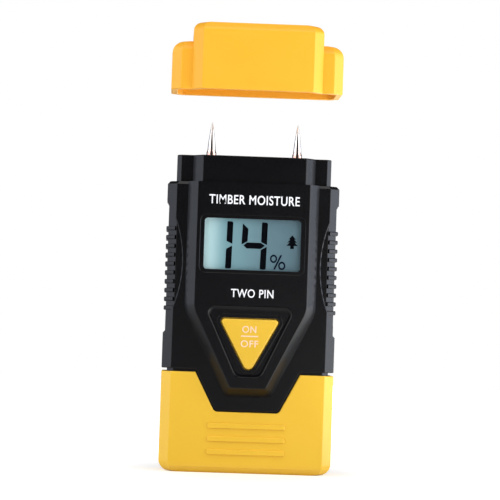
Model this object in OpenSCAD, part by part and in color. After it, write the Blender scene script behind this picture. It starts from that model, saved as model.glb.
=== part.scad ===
// Pocket pin moisture meter: a black two-part case with two needle electrodes, a liquid crystal
// display and one key, a yellow boot that closes the battery bay, and a yellow cap for the needles.
// +X is to the meter's right, -Y is its front, +Z runs from the boot up to the needles.
// The origin is on the ground under the middle of the boot.

/* [Body] */
// Width over the sides
body_w = 57.4; // [56:0.2:60]
// Depth from the raised front panel to the back
body_d = 28; // [27.5:0.5:31]
// How far the raised panel stands in front of the wings beside it
panel_rise = 4; // [3.8:0.1:4.4]
// Bevel along the four long edges
side_bevel = 3.1; // [2.8:0.1:3.5]
// Wall of the case
wall = 1.8; // [1.6:0.1:1.9]
// Height of the shoulder, where the cap seats
shoulder_z = 96.5; // [95.5:0.5:100]
// Height of the neck above the shoulder
neck_h = 9; // [8:0.2:9.2]
// Inset of the neck from the sides
neck_inset = 2.9; // [2.4:0.1:3.2]

/* [Boot] */
// Height of the boot
boot_h = 33.3; // [31:0.1:34]
// Wall of the boot
boot_wall = 1.5; // [1.3:0.1:1.5]
// Gap between the boot and the skirt that it slides on
slide_gap = 0.3; // [0.3:0.05:0.35]
// Number of grip ribs on its front
boot_ribs = 3; // [1:1:3]

/* [Cap] */
// Distance the cap is lifted above its seat
cap_lift = 30.5; // [25:0.5:60]
// Height of the middle block of the cap
cap_h = 22.5; // [22.5:0.5:26]
// Height of the cap's wings
cap_wing_h = 16.2; // [14:0.2:17]
// Wall of the cap's sides
cap_wall = 2.2; // [1.8:0.1:2.2]
// Thickness of the cap's top, over the needles
cap_top_t = 1.4; // [1:0.1:1.4]

/* [Needles] */
// Distance between the two needles
pin_spacing = 28.9; // [26:0.1:29.5]
// Length of needle outside the neck
pin_out = 11.8; // [8:0.1:11.8]
// Diameter of the needle's shank
pin_d = 3.3; // [2.4:0.1:3.6]

/* [Display and key] */
// Width of the display window
window_w = 32; // [26:0.5:32]
// Height of the display window
window_h = 17; // [14:0.2:17.4]
// Height of the window's middle above the ground
window_z = 76; // [75:0.5:77]
// Width of the key along its top edge
key_w = 18.8; // [14:0.2:19]

/* [Hidden] */
$fn = 96;

// Planes through the depth
front_y = -body_d / 2;
back_y = body_d / 2;
wing_y = front_y + panel_rise;
seam_y = 5;

// Raised panel, as seen from the front
panel_w = 43.6;
panel_bevel = 3.2;
panel_bend_z = 53.5;
panel_foot_w = 15.6;
panel_foot_z = 25.3;
// How far an edge of the panel moves sideways for each millimetre its skin is set in
panel_edge_shift = (norm([panel_bevel, panel_rise]) - panel_bevel) / panel_rise;

// Heights
case_foot_z = boot_h + 1;
neck_top_z = shoulder_z + neck_h;
skirt_foot_z = 4;
ledge_t = 1.8;
cap_seat_gap = 0.3;
cap_z = shoulder_z + cap_seat_gap + cap_lift;

// Skirt inside the boot
skirt_inset = boot_wall + slide_gap;
skirt_wall = 1.2;

// Tongue of the case that fills the notch in the boot
notch_top_w = 34.8;
notch_foot_w = 21.4;
notch_foot_z = 20.3;
notch_corner_r = 1.7;
tongue_gap = 0.5;

// Finger grips on the sides
grip_rib_count = 10;
grip_rib_pitch = 2.94;
grip_rib_t = 1.4;
grip_first_z = 54.3;
grip_depth = 0.7;
grip_low_z = 46;
grip_high_z = 84;
grip_arc_r = 41.6;
grip_arc_reach = 23.1;
grip_arc_z = 69.4;

// Circuit board
board_front_y = -7.9;
board_t = 1.2;
board_w = 40.6;
board_low_z = 38;
board_high_z = 93;
board_back_y = board_front_y + board_t;

// Display stack, from the lens back to the board
lens_front_y = front_y + 0.6;
lens_gap = 0.15;
lens_t = 1.2;
lcd_front_y = lens_front_y + lens_t + 0.1;
lcd_t = 2;
lcd_w = 34.2;
lcd_h = 22.8;
strip_z = lcd_h / 2 - 1.6;
lcd_back_y = lcd_front_y + lcd_t;
zebra_t = 2;
bezel_w = 34.6;
bezel_h = 19.4;

// Key and switch
key_top_z = 51.3;
key_tip_z = 34.7;
key_corner_r = 1;
key_tip_r = 1.9;
key_front_y = front_y + 0.1;
key_gap = 0.35;
key_well_depth = 0.8;
well_corner_r = 3;
well_top = [11.3, 52.7];
well_foot = [1.2, 34.7];
flange_y = front_y + wall + 0.2;
flange_t = 0.75;
flange_rim = 1.5;
flange_room = 2.3;
switch_z = 45;
switch_w = 6;
switch_cover_t = 0.25;
plunger_out = 0.85;
switch_front_y = flange_y + flange_t + plunger_out;
plunger_r = 1.6;

// Battery bay
battery_w = 26.2;
battery_t = 17;
battery_h = 46.4;
battery_z = 3.6;
battery_y = -6.2 + battery_t / 2;
battery_top_z = battery_z + battery_h;
terminal_pitch = 12.7;
terminal_h = 2;
strap_t = 3.2;
foam_t = 1.5;
foam_z = battery_z - foam_t - 0.3;

// Fasteners
case_screw_x = 23.4;
case_screw_zs = [41, 89];
case_screw_r = 1.3;
case_screw_head_r = 2.4;
case_screw_sink = 2.2;
boss_r = 2.6;
rear_boss_r = 3.4;
board_post_r = 2;
board_screw_x = 16.2;
board_screw_zs = [61, 90.8];
board_screw_r = 0.9;
fit = 0.02;

// Rear label
label_w = 34;
label_h = 40;
label_t = 0.3;
label_z = 68;
label_gap = 0.2;

// Needle collars and sockets
collar_r = 4.6;
socket_r = 3;

// Outline of the case seen along Z, with its skin set in by the given distance
function case_outline(inset) =
    let (w = body_w / 2 - inset,
        c = side_bevel - inset * (2 - sqrt(2)),
        f = wing_y + inset,
        r = back_y - inset)
    [[c - w, f], [w - c, f], [w, f + c], [w, r - c], [w - c, r], [c - w, r], [-w, r - c], [-w, f + c]];

// Outline of the tapering panel seen from the front, moved in by the given distance
function panel_outline(inset, top_z) =
    let (slope = [(panel_w - panel_foot_w) / 2, panel_bend_z - panel_foot_z],
        u = slope / norm(slope),
        foot_x = panel_foot_w / 2 - inset * (u.y - (1 - u.x) * u.x / u.y),
        bend_z = panel_bend_z + inset * (u.x - (1 - u.y) * u.y / u.x),
        side_x = panel_w / 2 - inset)
    [[-foot_x, panel_foot_z + inset], [foot_x, panel_foot_z + inset], [side_x, bend_z],
        [side_x, top_z], [-side_x, top_z], [-side_x, bend_z]];

// Where the battery's two studs stand, from its middle
function stud_x(side) = side * terminal_pitch / 2;

// Extrudes a shape drawn in X and Z from one depth to another
module along_y(from, to)
    translate([0, to, 0]) rotate([90, 0, 0]) linear_extrude(to - from) children();

// Extrudes a shape drawn in Y and Z across the whole width
module across(w)
    translate([-w / 2, 0, 0]) rotate([90, 0, 90]) linear_extrude(w) children();

// A box from one corner to the opposite one
module block(low, high)
    translate(low) cube(high - low);

// A prism of the case's outline
module case_prism(inset, low, high)
    translate([0, 0, low]) linear_extrude(high - low) polygon(case_outline(inset));

// The raised panel with its bevelled edges, its skin set in by the given distance
module panel_solid(inset, top_z) {
    edge = inset * panel_edge_shift;
    hull() {
        along_y(wing_y + inset, wing_y + inset + 1.5) polygon(panel_outline(edge, top_z));
        along_y(front_y + inset, front_y + inset + 0.01)
            polygon(panel_outline(panel_bevel + edge, top_z));
    }
}

// The part of the panel that carries on up the neck
module neck_panel(inset, low, high) {
    edge = inset * panel_edge_shift;
    side = panel_w / 2 - edge;
    front = side - panel_bevel;
    translate([0, 0, low]) linear_extrude(high - low)
        polygon([[-front, front_y + inset], [front, front_y + inset], [side, wing_y + inset],
            [side, wing_y + inset + 2], [-side, wing_y + inset + 2], [-side, wing_y + inset]]);
}

// A rectangle in X and Z with rounded top corners
module round_top(w, low, high, r) {
    square_low = high - r;
    translate([-w / 2, low]) square([w, square_low - low]);
    translate([r - w / 2, low]) square([w - 2 * r, high - low]);
    for (side = [-1, 1])
        translate([side * (w / 2 - r), square_low]) circle(r);
}

// Rounded triangle that points down, for the key and the holes around it
module key_shape(grow) {
    hull() {
        for (side = [-1, 1])
            translate([side * (key_w / 2 - key_corner_r), key_top_z - key_corner_r])
                circle(key_corner_r + grow, $fn = 32);
        translate([0, key_tip_z + key_tip_r]) circle(key_tip_r + grow, $fn = 32);
    }
}

// The well in the panel around the key
module key_well() {
    hull() {
        for (side = [-1, 1], corner = [well_top, well_foot])
            translate([side * corner.x, corner.y]) circle(well_corner_r, $fn = 32);
    }
}

// The notch in the boot's front, or with a gap the tongue that fills it
module notch_shape(gap, top_z) {
    foot = notch_foot_w / 2 - gap - notch_corner_r;
    top = notch_top_w / 2 - gap;
    hull() {
        for (side = [-1, 1])
            translate([side * foot, notch_foot_z + gap + notch_corner_r])
                circle(notch_corner_r, $fn = 32);
        translate([-top, top_z - 0.5]) square([2 * top, 0.5]);
    }
}

// Everything that is taken away from both sides to make the finger grips
module grip_recess() {
    edge_x = body_w / 2 - grip_depth;
    difference() {
        union() {
            for (side = [-1, 1])
                mirror([side < 0 ? 1 : 0, 0, 0]) {
                    along_y(front_y, back_y + 1)
                        polygon([[edge_x, grip_low_z + grip_depth], [edge_x + 2, grip_low_z - 1.3],
                            [edge_x + 2, grip_high_z + 1.3], [edge_x, grip_high_z - grip_depth]]);
                    translate([grip_arc_reach + grip_arc_r, 0, grip_arc_z])
                        rotate([90, 0, 0]) cylinder(r = grip_arc_r, h = 3 * body_d, center = true);
                }
        }
        case_prism(grip_depth, 0, shoulder_z + 1);
        block([-body_w, wing_y + grip_depth, 0], [body_w, back_y - grip_depth, grip_low_z]);
    }
}

// The ribs that stand in the finger grips, up to the case's own outline
module grip_ribs() {
    rib_x = body_w / 2 - side_bevel;
    intersection() {
        case_prism(0, grip_low_z, grip_high_z);
        for (side = [-1, 1])
            for (i = [0 : grip_rib_count - 1])
                translate([side * (rib_x + 2.5), 0, grip_first_z + i * grip_rib_pitch])
                    cube([5, 2 * body_d, grip_rib_t], center = true);
    }
}

// Outside of the whole case, both halves together
module case_skin() {
    difference() {
        union() {
            intersection() {
                case_prism(0, case_foot_z, shoulder_z);
                along_y(front_y - 1, back_y + 1)
                    polygon([[-body_w / 2, 0], [body_w / 2, 0], [body_w / 2, shoulder_z - 1],
                        [body_w / 2 - 1, shoulder_z], [1 - body_w / 2, shoulder_z],
                        [-body_w / 2, shoulder_z - 1]]);
            }
            case_prism(skirt_inset, skirt_foot_z, case_foot_z + 0.5);
            case_prism(neck_inset, shoulder_z - 1, neck_top_z);
            neck_panel(neck_inset, shoulder_z - 1, neck_top_z);
            panel_solid(0, shoulder_z);
            along_y(wing_y, wing_y + skirt_inset + 0.5) notch_shape(tongue_gap, case_foot_z + 0.5);
        }
        grip_recess();
    }
    grip_ribs();
}

// Space inside the case, both halves together
module case_hollow() {
    ledge_top = case_foot_z + ledge_t;
    case_prism(wall, ledge_top, shoulder_z - wall);
    case_prism(skirt_inset + skirt_wall, skirt_foot_z - 1, ledge_top + 0.5);
    case_prism(neck_inset + wall, shoulder_z - wall - 0.5, neck_top_z - wall);
    intersection() {
        panel_solid(wall, shoulder_z - wall);
        block([-body_w, front_y, ledge_top], [body_w, wing_y + wall + 1, shoulder_z]);
    }
}

// Cylinder along Y at a place seen from the front
module pin_y(x, z, r, from, to)
    translate([x, to, z]) rotate([90, 0, 0]) cylinder(r = r, h = to - from);

module front_case() color("#202124") {
    difference() {
        union() {
            difference() {
                case_skin();
                case_hollow();
                block([-body_w, seam_y, 0], [body_w, back_y + 1, neck_top_z + 1]);
            }
            // Screw posts and the collars that hold the needle sockets
            for (x = [-case_screw_x, case_screw_x], z = case_screw_zs)
                pin_y(x, z, boss_r, wing_y + 0.5, seam_y);
            for (x = [-board_screw_x, board_screw_x], z = board_screw_zs)
                pin_y(x, z, board_post_r, front_y + 0.5, board_front_y);
            for (side = [-1, 1])
                translate([side * pin_spacing / 2, 0, shoulder_z - wall])
                    cylinder(r = collar_r, h = neck_h + wall - 0.5);
        }
        // Display window with its shallow bezel
        block([-bezel_w / 2, front_y - 1, window_z - bezel_h / 2],
            [bezel_w / 2, front_y + 0.4, window_z + bezel_h / 2]);
        block([-window_w / 2, front_y - 1, window_z - window_h / 2],
            [window_w / 2, wing_y, window_z + window_h / 2]);
        // Well and opening for the key
        along_y(front_y - 1, front_y + key_well_depth) key_well();
        along_y(front_y - 1, board_front_y - 0.5) key_shape(key_gap);
        // Room behind the wall for the key's flange
        along_y(front_y + wall, wing_y + skirt_inset + skirt_wall) key_shape(flange_room);
        for (side = [-1, 1])
            translate([side * pin_spacing / 2, 0, shoulder_z - wall - 1])
                cylinder(r = socket_r + fit, h = neck_h + 4);
        for (x = [-case_screw_x, case_screw_x], z = case_screw_zs)
            pin_y(x, z, case_screw_r + fit, -4, seam_y + 1);
        for (x = [-board_screw_x, board_screw_x], z = board_screw_zs)
            pin_y(x, z, board_screw_r + fit, board_front_y - 2.6, board_front_y + 1);
    }
}

module rear_case() color("#202124") {
    difference() {
        union() {
            difference() {
                case_skin();
                case_hollow();
                block([-body_w, front_y - 1, 0], [body_w, seam_y, neck_top_z + 1]);
            }
            for (x = [-case_screw_x, case_screw_x], z = case_screw_zs)
                pin_y(x, z, rear_boss_r, seam_y, back_y - 1);
            // Ribs that keep the battery in the middle of the bay
            for (side = [-1, 1])
                translate([side * (battery_w / 2 + 1), 0, 0])
                    block([-0.6, seam_y + 1, case_foot_z], [0.6, back_y - 1, battery_top_z]);
        }
        for (x = [-case_screw_x, case_screw_x], z = case_screw_zs) {
            pin_y(x, z, case_screw_r + 0.2, seam_y - 1, back_y);
            pin_y(x, z, case_screw_head_r + 0.2, back_y - case_screw_sink - 0.2, back_y + 1);
        }
        block([-label_w / 2, back_y - label_t, label_z - label_h / 2],
            [label_w / 2, back_y + 1, label_z + label_h / 2]);
    }
}

module battery_boot() color("#f2c33d") {
    corner_r = 4;
    foot_bevel = 2;
    difference() {
        intersection() {
            case_prism(0, 0, boot_h);
            along_y(front_y, back_y + 1)
                translate([0, boot_h]) mirror([0, 1]) round_top(body_w, 0, boot_h, corner_r);
            across(body_w + 2)
                polygon([[wing_y + foot_bevel, 0], [back_y - foot_bevel, 0], [back_y, foot_bevel],
                    [back_y, boot_h], [wing_y, boot_h], [wing_y, foot_bevel]]);
        }
        case_prism(boot_wall, foam_z, boot_h + 1);
        along_y(wing_y - 1, wing_y + boot_wall + 0.5) notch_shape(0, boot_h + 1);
    }
    rib_w = 25.8;
    rib_h = 1.7;
    rib_pitch = 4.35;
    rib_low_z = 7;
    for (i = [0 : boot_ribs - 1])
        block([-rib_w / 2, wing_y - 0.5, rib_low_z + i * rib_pitch - rib_h / 2],
            [rib_w / 2, wing_y + 0.5, rib_low_z + i * rib_pitch + rib_h / 2]);
}

module boot_foam_pad() color("#4a4a4c")
    block([-12, battery_y - 7.5, foam_z], [12, battery_y + 7.5, foam_z + foam_t]);

module display_lens() color("#9fb4b6", 0.4)
    block([lens_gap - window_w / 2, lens_front_y, window_z - window_h / 2 + lens_gap],
        [window_w / 2 - lens_gap, lens_front_y + lens_t, window_z + window_h / 2 - lens_gap]);

module lcd_glass() color("#7f9495")
    block([-lcd_w / 2, lcd_front_y, window_z - lcd_h / 2],
        [lcd_w / 2, lcd_back_y, window_z + lcd_h / 2]);

// The strips stand at the top and bottom edges of the glass, between it and the board
module zebra_strips() color("#2b2b2d")
    for (side = [-1, 1])
        translate([0, 0, window_z + side * strip_z])
            block([-14.5, lcd_back_y, -zebra_t / 2], [14.5, board_front_y, zebra_t / 2]);

module lcd_frame() color("#d9dadb") {
    frame_w = lcd_w + 2;
    frame_h = lcd_h + 2;
    translate([0, 0, window_z]) difference() {
        union() {
            block([-frame_w / 2, lcd_back_y + 0.05, -frame_h / 2],
                [frame_w / 2, board_front_y, frame_h / 2]);
            for (side = [-1, 1])
                translate([0, 0, side * (lcd_h / 2 + 0.6)])
                    block([-12, lcd_front_y + 0.8, -0.4], [12, board_front_y, 0.4]);
        }
        block([-13, front_y, 3.5 - strip_z], [13, 0, strip_z - 3.5]);
        for (side = [-1, 1])
            translate([0, 0, side * strip_z])
                block([-14.6, front_y, -zebra_t / 2 - 0.1], [14.6, 0, zebra_t / 2 + 0.1]);
    }
}

module main_board() color("#2f6b3c")
    difference() {
        block([-board_w / 2, board_front_y, board_low_z], [board_w / 2, board_back_y, board_high_z]);
        for (x = [-board_screw_x, board_screw_x], z = board_screw_zs)
            pin_y(x, z, board_screw_r + 0.2, board_front_y - 1, board_back_y + 1);
    }

// A chip with a row of legs down each side, on the back of the board
module chip(w, h, t, legs) {
    pitch = 1.27;
    block([-w / 2, board_back_y + 0.1, -h / 2], [w / 2, board_back_y + t, h / 2]);
    for (side = [-1, 1], i = [0 : legs - 1])
        translate([side * (w / 2 + 0.4), 0, (i - (legs - 1) / 2) * pitch])
            block([-0.55, board_back_y, -0.2], [0.55, board_back_y + 0.5, 0.2]);
}

module control_chip() color("#26262a") translate([0, 0, 74]) chip(7.5, 12.8, 2.2, 10);

module amplifier_chip() color("#26262a") translate([-10, 0, 87]) chip(3.9, 4.9, 1.5, 3);

// Small resistors and capacitors, each a body between two end caps
module board_parts() color("#a88f62") {
    for (place = [[9, 86], [9, 82.5], [-10, 78], [-10, 75.5], [-10, 73], [10, 70], [13, 70], [0, 63.5]])
        translate([place.x, 0, place.y])
            block([-1, board_back_y, -0.6], [1, board_back_y + 0.7, 0.6]);
    pin_y(10, 76, 2.5, board_back_y, board_back_y + 5);
}

module switch_housing() color("#1c1c1e")
    difference() {
        block([-switch_w / 2, switch_front_y + switch_cover_t, switch_z - switch_w / 2],
            [switch_w / 2, board_front_y, switch_z + switch_w / 2]);
        pin_y(0, switch_z, plunger_r + 0.15, switch_front_y - 1, switch_front_y + 1.6);
    }

module switch_cover() color("#c3c5c9")
    difference() {
        block([-switch_w / 2, switch_front_y, switch_z - switch_w / 2],
            [switch_w / 2, switch_front_y + switch_cover_t, switch_z + switch_w / 2]);
        pin_y(0, switch_z, plunger_r + 0.15, switch_front_y - 1, switch_front_y + 1);
    }

module switch_plunger() color("#7a2b20")
    pin_y(0, switch_z, plunger_r, flange_y + flange_t + 0.02, switch_front_y + 0.9);

module button_key() color("#f5cb42") {
    along_y(key_front_y, flange_y + 0.1) key_shape(0);
    along_y(flange_y, flange_y + flange_t) key_shape(flange_rim);
}

// A needle: shank in the socket, a collar on the neck, then a point that swells slightly
module electrode(side) color("#c9c6c2") {
    shank_r = pin_d / 2;
    base_z = neck_top_z;
    steps = 12;
    cone_low = 1.5;
    cone_h = pin_out - cone_low;
    tip_r = 0.08;
    translate([side * pin_spacing / 2, 0, 0]) rotate_extrude()
        polygon([[0, shoulder_z + 1], [shank_r, shoulder_z + 1], [shank_r, base_z + 0.05],
            [shank_r + 0.25, base_z + 0.1], [shank_r + 0.25, base_z + 0.55], [shank_r, base_z + 0.6],
            [shank_r, base_z + cone_low],
            for (i = [1 : steps])
                let (t = i / steps)
                [shank_r * 0.86 * (1 - t) + shank_r * 0.42 * t * (1 - t) + tip_r * t,
                    base_z + cone_low + cone_h * t],
            [0, base_z + pin_out]]);
}

// A turned brass socket with a tail for its lead
module pin_socket(side) color("#c59b49")
    translate([side * pin_spacing / 2, 0, 0]) difference() {
        union() {
            translate([0, 0, shoulder_z - wall + 0.2]) cylinder(r = socket_r, h = neck_h + wall - 0.3);
            translate([0, 0, shoulder_z - wall - 1.6]) cylinder(r = 0.9, h = 3);
        }
        translate([0, 0, shoulder_z + 1]) cylinder(r = pin_d / 2 + fit, h = neck_h + 2);
    }

// A wire that rises from one height, turns forward and ends on the back of the board
module lead(x, y, low, bend_r, r, turn_z) {
    end_y = board_back_y;
    step = turn_z > low ? 1 : -1;
    start = min(low, turn_z);
    translate([x, y, start]) cylinder(r = r, h = abs(turn_z - low), $fn = 24);
    translate([x, y - bend_r, turn_z]) rotate([step > 0 ? 90 : -90, 0, 90])
        rotate_extrude(angle = 90, $fn = 48) translate([bend_r, 0]) circle(r, $fn = 24);
    pin_y(x, turn_z + step * bend_r, r, end_y, y - bend_r);
}

module pin_lead(side) color("#8f2f2a")
    lead(side * pin_spacing / 2, 0, shoulder_z - wall - 1.6, 3, 0.6, 87);

module battery_9v() color("#4b4f55")
    translate([0, battery_y, battery_z]) linear_extrude(battery_h) {
        r = 2;
        square([battery_w - 2 * r, battery_t], center = true);
        square([battery_w, battery_t - 2 * r], center = true);
        for (x = [-1, 1], y = [-1, 1])
            translate([x * (battery_w / 2 - r), y * (battery_t / 2 - r)]) circle(r);
    }

// A plain stud at one end and an open ring at the other
module snap_pair(stud_side, low, h) {
    translate([stud_x(stud_side), battery_y, low]) cylinder(r = 2.8, h = h);
    translate([stud_x(-stud_side), battery_y, low]) difference() {
        cylinder(r = 4.1, h = h);
        translate([0, 0, -1]) cylinder(r = 3, h = h + 2);
    }
}

module battery_terminals() color("#c8c9cc") snap_pair(1, battery_top_z, terminal_h);

module snap_contacts() color("#b9bbbf")
    snap_pair(-1, battery_top_z + 0.1, terminal_h);

module snap_connector() color("#232325") {
    low = battery_top_z + terminal_h + 0.1;
    difference() {
        block([-12.6, battery_y - 5.4, low], [12.6, battery_y + 5.4, low + strap_t]);
        for (side = [-1, 1])
            translate([side * 11, battery_y - 6, low - 1])
                rotate([0, 0, 45]) cube([3, 3, 2 * strap_t + 4], center = true);
    }
}

module battery_lead(x)
    lead(x, battery_y, battery_top_z + terminal_h + 0.1 + strap_t, 4, 0.7, 60);

module red_lead() color("#b3261e") battery_lead(8);

module black_lead() color("#1b1b1b") battery_lead(-8);

// Pan heads with a cross slot, all four alike
module case_screws() color("#8e9196")
    for (x = [-case_screw_x, case_screw_x], z = case_screw_zs)
        difference() {
            union() {
                pin_y(x, z, case_screw_r, -3.5, back_y - case_screw_sink + 0.1);
                pin_y(x, z, case_screw_head_r, back_y - case_screw_sink, back_y - 0.6);
            }
            for (turn = [0, 90])
                translate([x, back_y - 0.6, z]) rotate([0, turn, 0])
                    cube([2.8, 1.6, 0.6], center = true);
        }

module board_screws() color("#a7a9ad")
    for (x = [-board_screw_x, board_screw_x], z = board_screw_zs)
        difference() {
            union() {
                pin_y(x, z, board_screw_r, board_front_y - 2.4, board_back_y + 0.1);
                pin_y(x, z, 1.7, board_back_y, board_back_y + 1);
            }
            for (turn = [0, 90])
                translate([x, board_back_y + 1, z]) rotate([0, turn, 0])
                    cube([2, 1, 0.5], center = true);
        }

module rear_label() color("#b9bcc0")
    block([label_gap - label_w / 2, back_y - label_t, label_z - label_h / 2 + label_gap],
        [label_w / 2 - label_gap, back_y - 0.05, label_z + label_h / 2 - label_gap]);

// The cap's outside, or with an inset the space inside it
module cap_solid(inset, top_wall, low) {
    wing_top = cap_z + cap_wing_h - inset;
    block_top = cap_z + cap_h - top_wall;
    wing_r = 4 - inset * 0.8;
    block_r = 2.8 - inset * 0.8;
    top_bevel = 2.4 - inset * 0.6;
    edge = inset * panel_edge_shift;
    side = panel_w / 2 - inset;
    front = panel_w / 2 - panel_bevel - edge;
    f = front_y + inset;
    b = back_y - inset;
    intersection() {
        case_prism(inset, low, wing_top);
        along_y(front_y, back_y + 1) round_top(body_w - 2 * inset, low, wing_top, wing_r);
        across(body_w + 2)
            polygon([[wing_y + inset, low], [b, low], [b, wing_top - top_bevel],
                [b - top_bevel, wing_top], [wing_y + inset + top_bevel, wing_top],
                [wing_y + inset, wing_top - top_bevel]]);
    }
    intersection() {
        translate([0, 0, low]) linear_extrude(block_top - low)
            polygon([[-front, f], [front, f], [side, wing_y + inset], [side, b - side_bevel],
                [side - side_bevel, b], [side_bevel - side, b], [-side, b - side_bevel],
                [-side, wing_y + inset]]);
        along_y(front_y - 1, back_y + 1) round_top(2 * side, low, block_top, block_r);
        across(body_w + 2)
            polygon([[f, low], [b, low], [b, block_top - top_bevel], [b - top_bevel, block_top],
                [f + top_bevel, block_top], [f, block_top - top_bevel]]);
    }
}

module protective_cap() color("#ffc73c")
    difference() {
        cap_solid(0, 0, cap_z);
        cap_solid(cap_wall, cap_top_t, cap_z - 1);
        neck_panel(cap_wall, cap_z - 1, cap_z + cap_wing_h - cap_wall);
    }

battery_boot();
boot_foam_pad();
front_case();
rear_case();
display_lens();
lcd_glass();
lcd_frame();
zebra_strips();
main_board();
control_chip();
amplifier_chip();
board_parts();
switch_housing();
switch_cover();
switch_plunger();
button_key();
electrode(-1);  // electrode_left
electrode(1);  // electrode_right
pin_socket(-1);  // pin_socket_left
pin_socket(1);  // pin_socket_right
pin_lead(-1);  // pin_lead_left
pin_lead(1);  // pin_lead_right
battery_9v();
battery_terminals();
snap_connector();
snap_contacts();
red_lead();
black_lead();
case_screws();
board_screws();
rear_label();
protective_cap();
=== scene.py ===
"""Looks of the pocket moisture meter: moulded shells, display, key, needles and studio."""
import functools
import math

import bmesh
import bpy
from mathutils import Matrix, Vector


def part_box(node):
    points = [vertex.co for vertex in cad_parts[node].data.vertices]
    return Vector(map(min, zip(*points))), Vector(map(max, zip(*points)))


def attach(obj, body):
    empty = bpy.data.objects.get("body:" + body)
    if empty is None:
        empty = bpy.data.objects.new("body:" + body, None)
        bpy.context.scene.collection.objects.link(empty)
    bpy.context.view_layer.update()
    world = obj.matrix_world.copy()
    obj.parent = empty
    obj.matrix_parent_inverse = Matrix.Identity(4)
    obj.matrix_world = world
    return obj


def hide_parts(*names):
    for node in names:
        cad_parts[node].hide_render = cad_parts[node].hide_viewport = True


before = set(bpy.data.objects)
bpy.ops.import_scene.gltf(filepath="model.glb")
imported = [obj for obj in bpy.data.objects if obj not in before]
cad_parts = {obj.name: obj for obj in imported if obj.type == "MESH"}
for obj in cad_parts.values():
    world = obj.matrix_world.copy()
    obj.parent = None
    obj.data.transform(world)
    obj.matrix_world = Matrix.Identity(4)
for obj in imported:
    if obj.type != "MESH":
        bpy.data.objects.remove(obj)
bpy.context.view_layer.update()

# ---------------------------------------------------------------- sizes, in millimetres
MM = 0.001


def box_mm(node):
    """Lowest and highest corner of a CAD node, in millimetres."""
    low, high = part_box(node)
    return low / MM, high / MM


FRONT_LOW, FRONT_HIGH = box_mm("front_case")
REAR_LOW, REAR_HIGH = box_mm("rear_case")
BOOT_HIGH = box_mm("battery_boot")[1]
CAP_LOW, CAP_HIGH = box_mm("protective_cap")
LENS_LOW, LENS_HIGH = box_mm("display_lens")
GLASS_FRONT_Y = box_mm("lcd_glass")[0].y
KEY_LOW, KEY_HIGH = box_mm("button_key")
NEEDLE_LOW, NEEDLE_HIGH = box_mm("electrode_right")
LABEL_LOW, LABEL_HIGH = box_mm("rear_label")

# Past every face of the meter, for the slabs that part it
PAST_X, PAST_Y, PAST_Z = 40, 30, 120

# The panel stands on the wings, which are the flat front faces beside it
PANEL_RISE = 4
HALF_W = REAR_HIGH.x
FRONT_Y = FRONT_LOW.y
BACK_Y = REAR_HIGH.y
SEAM_Y = REAR_LOW.y
WING_Y = FRONT_Y + PANEL_RISE
SIDE_BEVEL = 3.1
CASE_FOOT_Z = BOOT_HIGH.z + 1
SHOULDER_Z = 96.5
NECK_TOP_Z = FRONT_HIGH.z
NECK_INSET = 2.9
# The panel's face lies this far back, so that the print on it stays inside the CAD box
INK = 0.03
# The skirt is the lower end of the case, which the boot covers
SKIRT_FOOT_Z = FRONT_LOW.z
SKIRT_INSET = 1.8
WALL = 1.8

PANEL_HALF_W = 21.8
PANEL_BEVEL = 3.2
PANEL_BEND_Z = 53.5
PANEL_FOOT_HALF_W = 7.8
PANEL_FOOT_Z = 25.3
PANEL_BEND_R = 12
# How far the panel's bevels come in for each millimetre the skin is set in
PANEL_EDGE_SHIFT = (math.hypot(PANEL_BEVEL, PANEL_RISE) - PANEL_BEVEL) / PANEL_RISE

NOTCH_TOP_HALF_W = 17.4
NOTCH_FOOT_HALF_W = 10.7
NOTCH_FOOT_Z = 20.3
NOTCH_CORNER_R = 1.7

WINDOW_HALF_W = 16
WINDOW_HALF_H = 8.5
WINDOW_Z = 76

# How deep the window's bezel and the key's well are sunk in the panel
BEZEL_DEPTH = 0.4
WELL_DEPTH = 0.8
# Where the key's sides would meet if its corners weren't rounded
KEY_CORNER = (10.06, 51.3)
KEY_TIP = (0, 32.6)
KEY_GAP = 0.4

NEEDLE_X = (NEEDLE_LOW.x + NEEDLE_HIGH.x) / 2
SOCKET_R = 3.02
COLLAR_R = 4.6

GRIP_DEPTH = 0.7
GRIP_LOW_Z = 46
GRIP_HIGH_Z = 84
GRIP_RIBS = 10
GRIP_PITCH = 2.94
GRIP_FIRST_Z = 54.3
GRIP_RIB_T = 1.4
# The arched edge of the scoop is part of a large circle
GRIP_ARC_R = 41.6
GRIP_ARC_X = 23.1
GRIP_ARC_Z = 69.4

SCREW_PLACES = [(x, z) for x in (-23.4, 23.4) for z in (41, 89)]

CAP_WING_H = 16.2
CAP_WALL = 2.2
CAP_TOP_T = 1.4


# ---------------------------------------------------------------- closed shapes
def outline(corners, radii, grow=0.0, steps=5):
    """Points round a polygon, anticlockwise, with rounded corners and its sides moved out by grow."""
    count = len(corners)
    radii = [radii] * count if isinstance(radii, (int, float)) else radii
    points = []
    for i, corner in enumerate(corners):
        corner = Vector(corner)
        before = (corner - Vector(corners[i - 1])).normalized()
        after = (Vector(corners[(i + 1) % count]) - corner).normalized()
        out_before, out_after = Vector((before.y, -before.x)), Vector((after.y, -after.x))
        mitre = (out_before + out_after) / (1 + out_before.dot(out_after))
        turn = math.atan2(before.cross(after), before.dot(after))
        bend = max(radii[i] + grow, 0.01) if turn > 0 else -max(radii[i] - grow, 0.01)
        centre = corner + mitre * (grow - bend)
        start = math.atan2(out_before.y, out_before.x)
        for step in range(steps + 1):
            angle = start + turn * step / steps
            points.append(centre + Vector((math.cos(angle), math.sin(angle))) * bend)
    return points


def quarter(radius, steps=4):
    """Pairs of distance from a face and inset there, round a quarter circle to the side wall."""
    angles = [math.pi / 2 * i / steps for i in range(steps + 1)]
    return [(radius * (1 - math.cos(a)), radius * (1 - math.sin(a))) for a in angles]


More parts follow.
